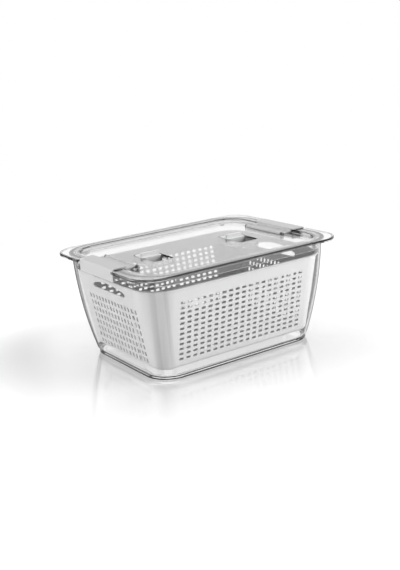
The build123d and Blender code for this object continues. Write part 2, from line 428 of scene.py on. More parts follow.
def loose_chain(items: list[MeshItem]) -> tuple[list[bmesh.types.BMVert], list[bmesh.types.BMEdge]]:
    """Picks the moving end out of what an operator gives back.

    Args:
        items: vertices, edges and faces.

    Returns:
        The vertices, and the edges that run only between them.
    """
    verts = [item for item in items if isinstance(item, bmesh.types.BMVert)]
    known = set(verts)
    edges = [
        item for item in items
        if isinstance(item, bmesh.types.BMEdge) and known.issuperset(item.verts)
    ]
    return verts, edges


def arc(centre: Point, radius: float, start: float, end: float, steps: int) -> list[Point]:
    """Points along an arc.

    Args:
        centre: the arc's centre.
        radius: the arc's radius.
        start: first angle in degrees.
        end: last angle in degrees.
        steps: number of spans.

    Returns:
        The steps + 1 points from start to end.
    """
    points = []
    for step in range(steps + 1):
        angle = math.radians(start + (end - start) * step / steps)
        points.append((centre[0] + radius * math.cos(angle), centre[1] + radius * math.sin(angle)))
    return points


def prism(outline: list[Point], half_width: float) -> bmesh.types.BMesh:
    """A bar along Y with an outline in the XZ plane.

    Args:
        outline: the closed outline's (x, z) points.
        half_width: half of the bar's length along Y.

    Returns:
        The bar as a closed shape.
    """
    shape = bmesh.new()
    corners = [shape.verts.new((x, -half_width, z)) for x, z in outline]
    face = shape.faces.new(corners)
    grown = bmesh.ops.extrude_face_region(shape, geom=[face])["geom"]
    moved = [item for item in grown if isinstance(item, bmesh.types.BMVert)]
    bmesh.ops.translate(shape, verts=moved, vec=(0, 2 * half_width, 0))
    bmesh.ops.recalc_face_normals(shape, faces=shape.faces)
    return shape


def soften(shape: bmesh.types.BMesh, offset: float, segments: int, least_angle: float) -> None:
    """Rounds every edge of a shape that is sharper than an angle.

    Args:
        shape: the bmesh to round.
        offset: width of the rounding.
        segments: number of its facets.
        least_angle: smallest angle in degrees between two faces that counts as an edge.
    """
    limit = math.radians(least_angle)
    sharp = [edge for edge in shape.edges if edge.is_manifold and edge.calc_face_angle() > limit]
    bmesh.ops.bevel(
        shape, geom=sharp, offset=offset, offset_type="OFFSET", segments=segments,
        profile=0.5, affect="EDGES", clamp_overlap=True, material=-1,
    )


def block(low: Vector, high: Vector) -> bmesh.types.BMesh:
    """A plain box, for cutting and for bars that are rounded later.

    Args:
        low: its lowest corner.
        high: its highest corner.

    Returns:
        The box as a closed shape.
    """
    shape = bmesh.new()
    place = Matrix.Translation((low + high) / 2) @ Matrix.Diagonal((*(high - low), 1.0))
    bmesh.ops.create_cube(shape, size=1.0, matrix=place)
    return shape


def rod(centre: Vector, radius: float, length: float, segments: int) -> bmesh.types.BMesh:
    """A round bar along Y.

    Args:
        centre: the bar's middle.
        radius: the bar's radius.
        length: its length.
        segments: number of its sides.

    Returns:
        The bar as a closed shape.
    """
    shape = bmesh.new()
    place = Matrix.Translation(centre) @ Matrix.Rotation(math.pi / 2, 4, "X")
    bmesh.ops.create_cone(
        shape, cap_ends=True, segments=segments, radius1=radius, radius2=radius,
        depth=length, matrix=place,
    )
    return shape


@dataclass(frozen=True)
class RoundedPlan:
    """A rounded rectangle seen from above, given by its corner centres."""

    corner_x: float
    corner_y: float
    steps: int = 14

    def sweep(self, section: list[Point], closed: bool) -> bmesh.types.BMesh:
        """Runs a section round the plan, straight along the sides and turned about the corners.

        Args:
            section: (distance from the corner centre, z) points.
            closed: whether the section is a closed outline.

        Returns:
            The swept surface, still open where the section is.
        """
        shape = bmesh.new()
        start = [Vector((self.corner_x + out, -self.corner_y, z)) for out, z in section]
        edges = chain(shape, start, closed)
        x, y = self.corner_x, self.corner_y
        legs = [
            ((0, 2 * y, 0), (x, y, 0)),
            ((-2 * x, 0, 0), (-x, y, 0)),
            ((0, -2 * y, 0), (-x, -y, 0)),
            ((2 * x, 0, 0), (x, -y, 0)),
        ]
        for run, centre in legs:
            grown = bmesh.ops.extrude_edge_only(shape, edges=edges)["geom"]
            moved, edges = loose_chain(grown)
            bmesh.ops.translate(shape, verts=moved, vec=run)
            bend = bmesh.ops.spin(
                shape, geom=[*moved, *edges], cent=centre, axis=UP, angle=math.pi / 2, steps=self.steps,
            )["geom_last"]
            _, edges = loose_chain(bend)
        bmesh.ops.remove_doubles(shape, verts=shape.verts, dist=WELD)
        return shape

    def ring(self, section: list[Point]) -> bmesh.types.BMesh:
        """A closed tube round the plan."""
        return close_shape(self.sweep(section, closed=True))

    def solid(self, section: list[Point]) -> bmesh.types.BMesh:
        """A solid with a flat bottom and a flat top.

        Args:
            section: (distance, z) points from the lower flat face, outwards and back to the upper one.

        Returns:
            The solid as a closed shape.
        """
        shape = self.sweep(section, closed=False)
        rim = [edge for edge in shape.edges if edge.is_boundary]
        bmesh.ops.edgeloop_fill(shape, edges=rim)
        return close_shape(shape)


def loose_object(shape: bmesh.types.BMesh, name: str) -> bpy.types.Object:
    """Turns a bmesh into an object and frees it.

    Args:
        shape: the bmesh.
        name: name of the object and its mesh.

    Returns:
        The object, linked to the scene.
    """
    mesh = bpy.data.meshes.new(name)
    shape.to_mesh(mesh)
    shape.free()
    piece = bpy.data.objects.new(name, mesh)
    bpy.context.scene.collection.objects.link(piece)
    return piece


def evaluated_shape(piece: bpy.types.Object, others: list[bpy.types.Object]) -> bmesh.types.BMesh:
    """Takes a loose object's shape with its modifiers, and deletes the object.

    Args:
        piece: the object to read.
        others: further loose objects, which are only deleted.

    Returns:
        The shape as a bmesh.
    """
    shape = bmesh.new()
    shape.from_object(piece, bpy.context.evaluated_depsgraph_get())
    for scrap in (piece, *others):
        mesh = scrap.data
        bpy.data.objects.remove(scrap)
        bpy.data.meshes.remove(mesh)
    return shape


def carve(base: bmesh.types.BMesh, steps: list[tuple[str, bmesh.types.BMesh]]) -> bmesh.types.BMesh:
    """Adds and cuts closed shapes in order.

    Args:
        base: the shape to start from.
        steps: pairs of UNION or DIFFERENCE and a closed shape.

    Returns:
        The carved shape.
    """
    piece = loose_object(base, "carved")
    tools = []
    for operation, shape in steps:
        tool = loose_object(shape, "tool")
        tools.append(tool)
        change = piece.modifiers.new("carve", "BOOLEAN")
        change.operation = operation
        change.solver = "EXACT"
        change.object = tool
    carved = evaluated_shape(piece, tools)
    bmesh.ops.remove_doubles(carved, verts=carved.verts, dist=WELD)
    return carved


def finish_piece(
    shape: bmesh.types.BMesh, name: str, node: str, body: Body, material: bpy.types.Material
) -> None:
    """Brings a shape to metres and puts it in the place of its solid.

    Args:
        shape: the finished bmesh in millimetres.
        name: name of the piece.
        node: name of the solid that it stands for.
        body: the body that it rides on.
        material: its finish.
    """
    bmesh.ops.scale(shape, vec=(MM, MM, MM), verts=shape.verts)
    piece = loose_object(shape, name)
    piece.data.materials.append(material)
    piece.data.polygons.foreach_set("use_smooth", [True] * len(piece.data.polygons))
    piece.data.set_sharp_from_angle(angle=math.radians(CREASE))
    shading = piece.modifiers.new("flat_faces", "WEIGHTED_NORMAL")
    shading.keep_sharp = True
    shading.weight = FLAT_FACE_WEIGHT
    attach(piece, body.value)
    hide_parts(node)
    log.info("%s: %d faces", name, len(piece.data.polygons))


def turned(shape: bmesh.types.BMesh, side: Side) -> bmesh.types.BMesh:
    """Turns a shape made for the +X end to the end that it belongs to.

    Args:
        shape: the bmesh to turn.
        side: the end that it belongs to.

    Returns:
        The same bmesh.
    """
    turn = Matrix.Rotation(side.value, 3, "Z")
    bmesh.ops.rotate(shape, verts=shape.verts, cent=(0, 0, 0), matrix=turn)
    return shape


# The bin's pieces


@dataclass(frozen=True)
class WallForm:
    """The bowed wall that the container, its lip and the lid's plug all follow."""

    corner_x: float = 99.5
    corner_y: float = 66.5
    rim_z: float = 132.5
    rim_radius: float = 40.0
    bow_radius: float = 471.0
    foot_steps: int = 8
    levels: int = 16

    def plan(self) -> RoundedPlan:
        """The plan of the walls."""
        return RoundedPlan(self.corner_x, self.corner_y)

    def radius(self, depth: float, z: float) -> float:
        """Distance from the corner centre to the bowed surface, depth inside the outside, at z."""
        reach = math.sqrt((self.bow_radius - depth) ** 2 - (self.rim_z - z) ** 2)
        return self.rim_radius - self.bow_radius + reach

    def profile(self, depth: float, low_z: float, high_z: float, foot: float) -> list[Point]:
        """The bowed wall's section, upwards from the flat of the floor.

        Args:
            depth: distance inside the container's outside.
            low_z: height of the flat at the foot.
            high_z: height of the upper end.
            foot: radius of the rounded foot.

        Returns:
            The section's (distance, z) points.
        """
        centre_r = self.rim_radius - self.bow_radius
        foot_z = low_z + foot
        inner = self.bow_radius - depth - foot
        foot_r = centre_r + math.sqrt(inner**2 - (self.rim_z - foot_z) ** 2)
        lean = math.degrees(math.atan2(foot_z - self.rim_z, foot_r - centre_r))
        points = arc((foot_r, foot_z), foot, -90.0, lean, self.foot_steps)
        wall_z = points[-1][1]
        for level in range(1, self.levels + 1):
            z = wall_z + (high_z - wall_z) * level / self.levels
            points.append((self.radius(depth, z), z))
        return points


@dataclass(frozen=True)
class Container:
    """The clear outer container with its lip and foot ring."""

    form: WallForm
    wall: float = 2.2
    floor: float = 3.0
    body_z: float = 6.0
    body_round: float = 2.2
    inner_round: float = 7.0
    ring_inset: float = 1.8
    ring_width: float = 9.0
    ring_depth: float = 0.8
    lip_width: float = 4.0
    lip_thickness: float = 2.0
    edge: float = 0.6
    edge_steps: int = 4
    corner_gain: float = 12.0
    corner_start_z: float = 120.0

    def section(self) -> list[Point]:
        """The container's section.

        Returns:
            Its (distance, z) points from the recess under the floor, round the rim, to the floor's top.
        """
        form = self.form
        ring_outer = form.radius(0.0, self.body_z) - self.ring_inset
        ring_inner = form.radius(0.0, 0.0) - self.ring_width
        lip = form.rim_radius + self.lip_width
        lip_low = form.rim_z - self.lip_thickness
        outer = form.profile(0.0, self.body_z, lip_low, self.body_round)
        inner = form.profile(self.wall, self.floor, form.rim_z - self.edge, self.inner_round)
        rim = [
            (lip - self.edge, lip_low),
            (lip, lip_low + self.edge),
            (lip, form.rim_z - self.edge),
            (lip - self.edge, form.rim_z),
            (inner[-1][0] + self.edge, form.rim_z),
        ]
        outer[0] = (ring_outer, self.body_z)
        ring = [
            (ring_inner - self.edge, self.ring_depth),
            (ring_inner, 0.0),
            *arc((ring_outer - self.edge, self.edge), self.edge, -90.0, 0.0, self.edge_steps),
        ]
        return [*ring, *outer, *rim, *reversed(inner)]

    def widen_corners(self, shape: bmesh.types.BMesh) -> None:
        """Gives the upright corners a larger radius towards the foot, with the flat walls kept in place.

        Args:
            shape: the container, whose vertices all lie on its corners.
        """
        for vert in shape.verts:
            out_x = abs(vert.co.x) - self.form.corner_x
            out_y = abs(vert.co.y) - self.form.corner_y
            reach = math.hypot(out_x, out_y)
            gain = self.corner_gain * max(0.0, 1.0 - vert.co.z / self.corner_start_z)
            vert.co.x -= math.copysign(gain * (1.0 - out_x / reach), vert.co.x)
            vert.co.y -= math.copysign(gain * (1.0 - out_y / reach), vert.co.y)

    def build(self, palette: Palette) -> None:
        """Builds the container as one closed shell.

        Args:
            palette: the bin's finishes.
        """
        shape = self.form.plan().solid(self.section())
        self.widen_corners(shape)
        finish_piece(
            shape, "container_shell", "container", Body.CONTAINER, palette.container
        )


@dataclass(frozen=True)
class SlotGrid:
    """A grid of round-ended drain slots on one wall, centred across it."""

    columns: int
    rows: int
    pitch_across: float
    pitch_up: float
    first_z: float
    across: float
    up: float

    def outline(self) -> list[Point]:
        """One slot's outline about its middle.

        Returns:
            Its (across, up) points: those of a circle, none on an axis, drawn apart along the slot.
        """
        end = min(self.across, self.up) / 2
        reach_across, reach_up = self.across / 2 - end, self.up / 2 - end
        half_step = 180.0 / SLOT_POINTS
        return [
            (a + math.copysign(reach_across, a), b + math.copysign(reach_up, b))
            for a, b in arc((0.0, 0.0), end, half_step, 360.0 - half_step, SLOT_POINTS - 1)
        ]

    def outlines(self) -> list[list[Point]]:
        """Every slot's outline.

        Returns:
            The (across, z) points of each slot, column by column.
        """
        outline = self.outline()
        outlines = []
        for column in range(self.columns):
            middle = (column - (self.columns - 1) / 2) * self.pitch_across
            for row in range(self.rows):
                z = self.first_z + row * self.pitch_up
                outlines.append([(middle + a, z + b) for a, b in outline])
        return outlines


SIDE_GRID = SlotGrid(columns=19, rows=12, pitch_across=9.9, pitch_up=6.57, first_z=23.4, across=6.5, up=3.4)
END_GRID = SlotGrid(columns=15, rows=8, pitch_across=7.76, pitch_up=9.0, first_z=20.4, across=3.7, up=6.2)
FLOOR_GRID = SlotGrid(columns=4, rows=5, pitch_across=46.0, pitch_up=26.0, first_z=-52.0, across=30.0, up=3.0)


@dataclass(frozen=True)
class DrainBasket:
    """The white insert: four leaning walls with drain slots, a slotted floor, a lip and four pegs."""

    form: WallForm
    rim_gap: float = 3.8
    lean: float = 9.6
    thickness: float = 1.4
    floor_z: float = 12.0
    top_z: float = 115.0
    foot: float = 6.0
    foot_steps: int = 6
    floor_border: float = 0.5
    container_wall: float = 2.2
    lip_width: float = 2.0
    lip_inset: float = 2.0
    lip_thickness: float = 2.0
    lip_edge: float = 0.6
    finger_length: float = 78.0
    finger_low_z: float = 98.0
    finger_end_height: float = 5.0
    finger_mid_height: float = 10.5
    finger_crown_share: float = 0.95
    finger_shoulder: float = 20.0
    finger_crown_steps: int = 24
    finger_end_steps: int = 5
    peg_radius: float = 6.0
    peg_taper: float = 0.6
    peg_sink: float = 0.5
    peg_x: float = 88.0
    peg_y: float = 55.0
    peg_low_z: float = 3.0
    peg_segments: int = 24

    def radius(self, z: float) -> float:
        """Distance from the corner centre to the basket's outside at z."""
        top = self.form.radius(self.container_wall, self.top_z) - self.rim_gap
        return top - (self.top_z - z) * math.tan(math.radians(self.lean))

    def foot_profile(self) -> list[Point]:
        """The rounded foot's section.

        Returns:
            Its (distance, z) points, from the floor's flat up to the leaning wall.
        """
        lean = math.radians(self.lean)
        centre_z = self.floor_z + self.foot
        centre_r = self.radius(centre_z) - self.foot / math.cos(lean)
        return arc((centre_r, centre_z), self.foot, -90.0, -self.lean, self.foot_steps)

    def finger_outline(self) -> list[Point]:
        """The arched hand hold's outline.

        Returns:
            Its (across, z) points, closed: the crown, then the right and the left end.
        """
        half = self.finger_length / 2
        rise = self.finger_mid_height - self.finger_end_height
        bow = (half**2 + rise**2) / (2 * rise)
        spread = math.degrees(math.asin(half / bow)) * self.finger_crown_share
        crown_z = self.finger_low_z + self.finger_mid_height
        crown = arc((0.0, crown_z - bow), bow, 90.0 + spread, 90.0 - spread, self.finger_crown_steps)
        corner = self.finger_end_height / 2
        low, steps = self.finger_low_z + corner, self.finger_end_steps
        right = arc((half - corner, low), corner, self.finger_shoulder, -90.0, steps)
        left = arc((corner - half, low), corner, 270.0, 180.0 - self.finger_shoulder, steps)
        return [*crown, *right, *left]

    def panel(
        self, half_run: float, offset: float, holes: list[list[Point]], low_z: float, high_z: float
    ) -> bmesh.types.BMesh:
        """One flat leaning wall at +X with its holes.

        Args:
            half_run: half of the wall's straight length.
            offset: distance of the corner centres from the middle.
            holes: outlines as (across, z) points.
            low_z: height of the wall's lower edge.
            high_z: height of its upper edge.

        Returns:
            The wall's outer skin.
        """
        shape = bmesh.new()
        border = [(-half_run, low_z), (half_run, low_z), (half_run, high_z), (-half_run, high_z)]
        edges = []
        for outline in (border, *holes):
            edges += chain(shape, [Vector((0.0, a, z)) for a, z in outline], closed=True)
        bmesh.ops.triangle_fill(shape, use_beauty=True, use_dissolve=False, edges=edges)
        for vert in shape.verts:
            vert.co.x = offset + self.radius(vert.co.z)
        return shape

    def reach(self, vert: bmesh.types.BMVert) -> float:
        """Distance of a vertex outwards from the rectangle of the corner centres.

        Args:
            vert: the vertex.

        Returns:
            The distance, which is nothing inside the rectangle.
        """
        out_x = max(abs(vert.co.x) - self.form.corner_x, 0.0)
        out_y = max(abs(vert.co.y) - self.form.corner_y, 0.0)
        return math.hypot(out_x, out_y)

    def floor(self) -> bmesh.types.BMesh:
        """The slotted floor's lower skin, out to where the rounded foot begins.

        Returns:
            A narrow border with the slotted flat filled in inside it.
        """
        start = self.foot_profile()[0][0]
        border = [(start, self.floor_z), (start - self.floor_border, self.floor_z)]
        shape = self.form.plan().sweep(border, closed=False)
        middle = start - self.floor_border / 2
        edges = [
            edge for edge in shape.edges
            if edge.is_boundary and min(self.reach(vert) for vert in edge.verts) < middle
        ]
        for outline in FLOOR_GRID.outlines():
            edges += chain(shape, [Vector((a, b, self.floor_z)) for a, b in outline], closed=True)
        bmesh.ops.triangle_fill(shape, use_beauty=True, use_dissolve=False, edges=edges)
        return shape

    def is_flat_wall(self, face: bmesh.types.BMFace) -> bool:
        """Tells the four long flat sides of the plain sweep from its corners.

        Args:
            face: a face of the sweep.

        Returns:
            Whether it is one of the flat sides.
        """
        level = [edge for edge in face.edges if abs(edge.verts[0].co.z - edge.verts[1].co.z) < LEVEL]
        return max(edge.calc_length() for edge in level) > self.form.corner_y

    def skin(self) -> bmesh.types.BMesh:
        """The basket's whole outer skin, welded, with every hole open.

        Returns:
            The rounded foot, the corners, the four slotted walls and the floor as one surface.
        """
        form = self.form
        foot = self.foot_profile()
        low_z, high_z = foot[-1][1], self.top_z - self.lip_thickness / 2
        skin = form.plan().sweep(foot, closed=False)
        walls = form.plan().sweep([(self.radius(z), z) for z in (low_z, high_z)], closed=False)
        flat = [face for face in walls.faces if self.is_flat_wall(face)]
        bmesh.ops.delete(walls, geom=flat, context="FACES")
        merge_into(skin, walls)
        end_holes = [*END_GRID.outlines(), self.finger_outline()]
        side_holes = SIDE_GRID.outlines()
        for quarter in range(4):
            at_end = quarter % 2 == 0
            half_run = form.corner_y if at_end else form.corner_x
            offset = form.corner_x if at_end else form.corner_y
            holes = end_holes if at_end else side_holes
            wall = self.panel(half_run, offset, holes, low_z, high_z)
            turn = Matrix.Rotation(quarter * math.pi / 2, 3, "Z")
            bmesh.ops.rotate(wall, verts=wall.verts, cent=(0, 0, 0), matrix=turn)
            merge_into(skin, wall)
        merge_into(skin, self.floor())
        return close_shape(skin)

    def thick_skin(self) -> bmesh.types.BMesh:
        """The skin with the wall's thickness.

        Returns:
            The basket's walls and floor as a closed shape.
        """
        skin = loose_object(self.skin(), "basket_skin")
        thicken = skin.modifiers.new("thickness", "SOLIDIFY")
        thicken.thickness = self.thickness
        thicken.offset = -1.0
        thicken.use_even_offset = True
        return evaluated_shape(skin, [])

    def lip(self) -> bmesh.types.BMesh:
        """The lip round the basket's top.

        Returns:
            The lip as a closed ring.
        """
        outer = self.radius(self.top_z) + self.lip_width
        inner = self.radius(self.top_z) - self.lip_inset
        low, high, edge = self.top_z - self.lip_thickness, self.top_z, self.lip_edge
        return self.form.plan().ring([
            (inner, low), (outer - edge, low), (outer, low + edge), (outer, high - edge),
            (outer - edge, high), (inner + edge, high), (inner, high - edge),
        ])

    def peg(self, x: float, y: float) -> bmesh.types.BMesh:
        """One peg that the basket stands on.

        Args:
            x: its place along the length.
            y: its place across the width.

        Returns:
            The peg as a closed shape.
        """
        shape = bmesh.new()
        height = self.floor_z + self.peg_sink - self.peg_low_z
        place = Matrix.Translation((x, y, self.peg_low_z + height / 2))
        bmesh.ops.create_cone(
            shape, cap_ends=True, segments=self.peg_segments, radius1=self.peg_radius - self.peg_taper,
            radius2=self.peg_radius, depth=height, matrix=place,
        )
        return shape

    def build(self, palette: Palette) -> None:
        """Builds the basket from its thick skin, its lip and its pegs.

        Args:
            palette: the bin's finishes.
        """
        shape = self.thick_skin()
        merge_into(shape, self.lip())
        for x in (-self.peg_x, self.peg_x):
            for y in (-self.peg_y, self.peg_y):
                merge_into(shape, self.peg(x, y))
        finish_piece(
            shape, "basket_grille", "drain_basket", Body.BASKET, palette.basket
        )


@dataclass(frozen=True)
class VentWell:
    """One pocket in the lid's panel, with guide grooves and air slots."""

    x: float
    panel_z: float
    half_x: float = 14.0
    half_y: float = 25.0
    corner: float = 4.0
    corner_steps: int = 8
    depth: float = 8.0
    wall: float = 2.4
    floor: float = 1.8
    foot: float = 0.8
    inner_foot: float = 0.6
    mouth: float = 0.8
    mouth_depth: float = 0.4
    mouth_proud: float = 0.1
    above: float = 3.0
    slots: int = 3
    slot_pitch: float = 6.0
    slot_width: float = 3.2
    slot_length: float = 20.0
    slot_first_y: float = -20.0
    slot_spare: float = 1.0
    groove_low: float = 2.85
    groove_high: float = 4.25
    groove_reach: float = 1.05

    def plan(self) -> RoundedPlan:
        """The plan of the pocket."""
        return RoundedPlan(self.half_x - self.corner, self.half_y - self.corner, self.corner_steps)

    def body(self) -> bmesh.types.BMesh:
        """The well's outside, which hangs under the panel.

        Returns:
            A closed shape to add to the lid.
        """
        out = self.corner + self.wall
        low = self.panel_z - self.depth - self.floor
        section = [(out - self.foot, low), (out, low + self.foot), (out, self.panel_z - self.mouth_depth)]
        return move(self.plan().solid(section), x=self.x)

    def cutters(self) -> list[bmesh.types.BMesh]:
        """The pocket, its grooves and its air slots.

        Returns:
            Closed shapes to cut from the lid.
        """
        floor_z = self.panel_z - self.depth
        section = [
            (self.corner - self.inner_foot, floor_z), (self.corner, floor_z + self.inner_foot),
            (self.corner, self.panel_z - self.mouth_depth),
            (self.corner + self.mouth, self.panel_z + self.mouth_proud),
            (self.corner + self.mouth, self.panel_z + self.above),
        ]
        shapes = [self.plan().solid(section)]
        groove_x, groove_y = self.half_x + self.groove_reach, self.half_y - self.corner
        low = Vector((-groove_x, -groove_y, floor_z + self.groove_low))
        high = Vector((groove_x, groove_y, floor_z + self.groove_high))
        shapes.append(block(low, high))
        half_length, half_width = self.slot_length / 2, self.slot_width / 2
        for index in range(self.slots):
            y = self.slot_first_y + index * self.slot_pitch
            low = Vector((-half_length, y - half_width, floor_z - self.floor - self.slot_spare))
            high = Vector((half_length, y + half_width, floor_z + self.slot_spare))
            shapes.append(block(low, high))
        return [move(shape, x=self.x) for shape in shapes]


@dataclass(frozen=True)
class Lid:
    """The clear lid: flange with a turned-down edge, sunken panel, plug skirt, vent wells and hinge lugs."""

    form: WallForm
    half_x: float = 150.0
    half_y: float = 113.0
    corner: float = 30.0
    flange: float = 2.5
    edge_drop: float = 1.4
    edge_width: float = 2.0
    edge_blend: Point = (1.0, 0.4)
    edge_slope: float = 0.3
    edge_foot: float = 0.5
    edge_top: float = 0.9
    edge_top_middle: float = 0.27
    panel_drop: float = 5.0
    panel: float = 2.2
    dish: float = 31.0
    dish_wall: float = 2.2
    dish_foot: float = 1.2
    dish_round: float = 1.6
    dish_steps: int = 5
    shoulder: tuple[Point, ...] = ((0.0, -0.6), (0.25, -0.2), (0.9, 0.05))
    plug: float = 36.5
    plug_wall: float = 2.0
    plug_low_z: float = 121.0
    plug_edge: float = 0.5
    overlap: float = 0.3
    spare: float = 4.0
    vent_x: float = 66.0
    hinge_x: float = 111.0
    hinge_rise: float = 2.2
    lug_y: float = 37.55
    lug_thickness: float = 2.5
    lug_radius: float = 2.6
    lug_steps: int = 12
    notch_half_y: float = 42.3
    notch_x: float = 143.6

    @property
    def top_z(self) -> float:
        """Height of the flange's top."""
        return self.form.rim_z + self.flange

    @property
    def panel_z(self) -> float:
        """Height of the sunken panel's top."""
        return self.top_z - self.panel_drop

    def flange_plate(self) -> bmesh.types.BMesh:
        """The flange as a plate with a rounded top edge and a turned-down lower edge.

        Returns:
            The plate as a closed shape.
        """
        plan = RoundedPlan(self.half_x - self.corner, self.half_y - self.corner)
        low, high, out = self.form.rim_z, self.top_z, self.corner
        inside, foot_z = out - self.edge_width, low - self.edge_drop
        blend_run, blend_drop = self.edge_blend
        return plan.solid([
            (inside - blend_run, low), (inside, low - blend_drop), (inside + self.edge_slope, foot_z),
            (out - self.edge_foot, foot_z), (out, foot_z + self.edge_foot), (out, high - self.edge_top),
            (out - self.edge_top_middle, high - self.edge_top_middle), (out - self.edge_top, high),
        ])

    def dish_body(self) -> bmesh.types.BMesh:
        """The outside of the dish that carries the sunken panel.

        Returns:
            A closed shape to add to the flange.
        """
        low = self.panel_z - self.panel
        out = self.dish + self.dish_wall
        section = [
            (out - self.dish_foot, low), (out, low + self.dish_foot),
            (out, self.form.rim_z + self.overlap),
        ]
        return self.form.plan().solid(section)

    def hollow(self) -> bmesh.types.BMesh:
        """The hollow above the sunken panel, with a rounded foot and a rounded shoulder.

        Returns:
            A closed shape to cut from the lid.
        """
        centre = (self.dish - self.dish_round, self.panel_z + self.dish_round)
        bend = arc(centre, self.dish_round, -90.0, 0.0, self.dish_steps)
        shoulder = [(self.dish + out, self.top_z + rise) for out, rise in self.shoulder]
        return self.form.plan().solid([*bend, *shoulder, (shoulder[-1][0], self.top_z + self.spare)])

    def plug_skirt(self) -> bmesh.types.BMesh:
        """The skirt that plugs the container's mouth.

        Returns:
            The skirt as a closed ring.
        """
        inner, outer = self.plug - self.plug_wall, self.plug
        low, high, edge = self.plug_low_z, self.form.rim_z + self.overlap, self.plug_edge
        return self.form.plan().ring([
            (inner + edge, low), (outer - edge, low), (outer, low + edge),
            (outer, high), (inner, high), (inner, low + edge),
        ])

    def lug(self, y: float) -> bmesh.types.BMesh:
        """One lug of a clip's hinge, standing on the panel at +X.

        Args:
            y: place of the lug's middle across the width.

        Returns:
            The lug as a closed shape.
        """
        base = self.panel_z - self.overlap
        centre = (self.hinge_x, self.panel_z + self.hinge_rise)
        eye = arc(centre, self.lug_radius, 180.0, 0.0, self.lug_steps)
        outline = [*eye, (self.hinge_x + self.lug_radius, base), (self.hinge_x - self.lug_radius, base)]
        return move(prism(outline, self.lug_thickness / 2), y=y)

    def notch(self) -> bmesh.types.BMesh:
        """The notch in the flange's edge for the clip's flap at +X.

        Returns:
            A closed shape to cut from the lid.
        """
        low = Vector((self.notch_x, -self.notch_half_y, self.form.rim_z - self.spare))
        high = Vector((self.half_x + self.spare, self.notch_half_y, self.top_z + self.spare))
        return block(low, high)

    def build(self, palette: Palette) -> None:
        """Builds the lid as one closed shell.

        Args:
            palette: the bin's finishes.
        """
        steps = [("UNION", self.dish_body()), ("UNION", self.plug_skirt()), ("DIFFERENCE", self.hollow())]
        for x in (-self.vent_x, self.vent_x):
            well = VentWell(x, self.panel_z)
            steps.append(("UNION", well.body()))
            steps += [("DIFFERENCE", cutter) for cutter in well.cutters()]
        for side in Side:
            for y in (-self.lug_y, self.lug_y):
                steps.append(("UNION", turned(self.lug(y), side)))
            steps.append(("DIFFERENCE", turned(self.notch(), side)))
        shape = carve(self.flange_plate(), steps)
        finish_piece(shape, "lid_shell", "lid", Body.LID, palette.lid)


@dataclass(frozen=True)
class SnapClip:
    """A grey clip: hinge barrel, tongue, riser, cover plate and hooked flap."""

    lid: Lid
    side: Side
    half_width: float = 41.0
    half_tongue: float = 36.0
    plate: float = 1.8
    flap: float = 2.2
    outer_x: float = 147.0
    flap_low_z: float = 121.0
    riser_x: float = 129.4
    over_flange: float = 0.3
    over_panel: float = 1.0
    fold: float = 3.0
    fold_steps: int = 6
    inner_fold: float = 0.8
    bead_tip_x: float = 143.0
    bead_low_z: float = 122.0
    bead_height: float = 3.0
    barrel: float = 2.0
    barrel_segments: int = 32
    stub: float = 1.2
    stub_segments: int = 24
    stub_length: float = 2.4
    edge: float = 0.35
    edge_segments: int = 2
    edge_angle: float = 40.0

    def bar(self, outline: list[Point], half_width: float) -> bmesh.types.BMesh:
        """A bar along Y with softened edges.

        Args:
            outline: the closed outline's (x, z) points.
            half_width: half of the bar's length.

        Returns:
            The bar as a closed shape.
        """
        shape = prism(outline, half_width)
        soften(shape, self.edge, self.edge_segments, self.edge_angle)
        return shape

    def cover(self) -> bmesh.types.BMesh:
        """The cover plate and the hooked flap, folded at the outer edge.

        Returns:
            Both as one closed shape.
        """
        low = self.lid.top_z + self.over_flange
        high = low + self.plate
        inner_x, flap_x = self.riser_x - self.plate, self.outer_x - self.flap
        bead_top = self.bead_low_z + self.bead_height
        centre = (self.outer_x - self.fold, high - self.fold)
        fold = arc(centre, self.fold, 0.0, 90.0, self.fold_steps)
        outline = [
            (inner_x, low), (flap_x - self.inner_fold, low), (flap_x, low - self.inner_fold),
            (flap_x, bead_top), (self.bead_tip_x, self.bead_low_z + self.bead_height / 2),
            (flap_x, self.bead_low_z), (flap_x, self.flap_low_z), (self.outer_x, self.flap_low_z),
            *fold, (inner_x, high),
        ]
        return self.bar(outline, self.half_width)

    def tongue(self) -> bmesh.types.BMesh:
        """The tongue in the lid's dish and the riser that carries the cover.

        Returns:
            Both as one closed shape.
        """
        low = self.lid.panel_z + self.over_panel
        high = low + self.plate
        inner_x = self.riser_x - self.plate
        top = self.lid.top_z + self.over_flange + self.plate / 2
        outline = [
            (self.lid.hinge_x, low), (self.riser_x, low), (self.riser_x, top),
            (inner_x, top), (inner_x, high), (self.lid.hinge_x, high),
        ]
        return self.bar(outline, self.half_tongue)

    def build(self, palette: Palette) -> None:
        """Builds the clip for its end of the lid.

        Args:
            palette: the bin's finishes.
        """
        hinge = Vector((self.lid.hinge_x, 0.0, self.lid.panel_z + self.lid.hinge_rise))
        stub_run = 2 * (self.half_tongue + self.stub_length)
        barrel = rod(hinge, self.barrel, 2 * self.half_tongue, self.barrel_segments)
        stub = rod(hinge, self.stub, stub_run, self.stub_segments)
        parts = [("UNION", self.tongue()), ("UNION", barrel), ("UNION", stub)]
        shape = turned(carve(self.cover(), parts), self.side)
        end = self.side.name.lower()
        body = Body[f"CLIP_{self.side.name}"]
        finish_piece(shape, f"snap_clip_{end}", f"clip_{end}", body, palette.clip)


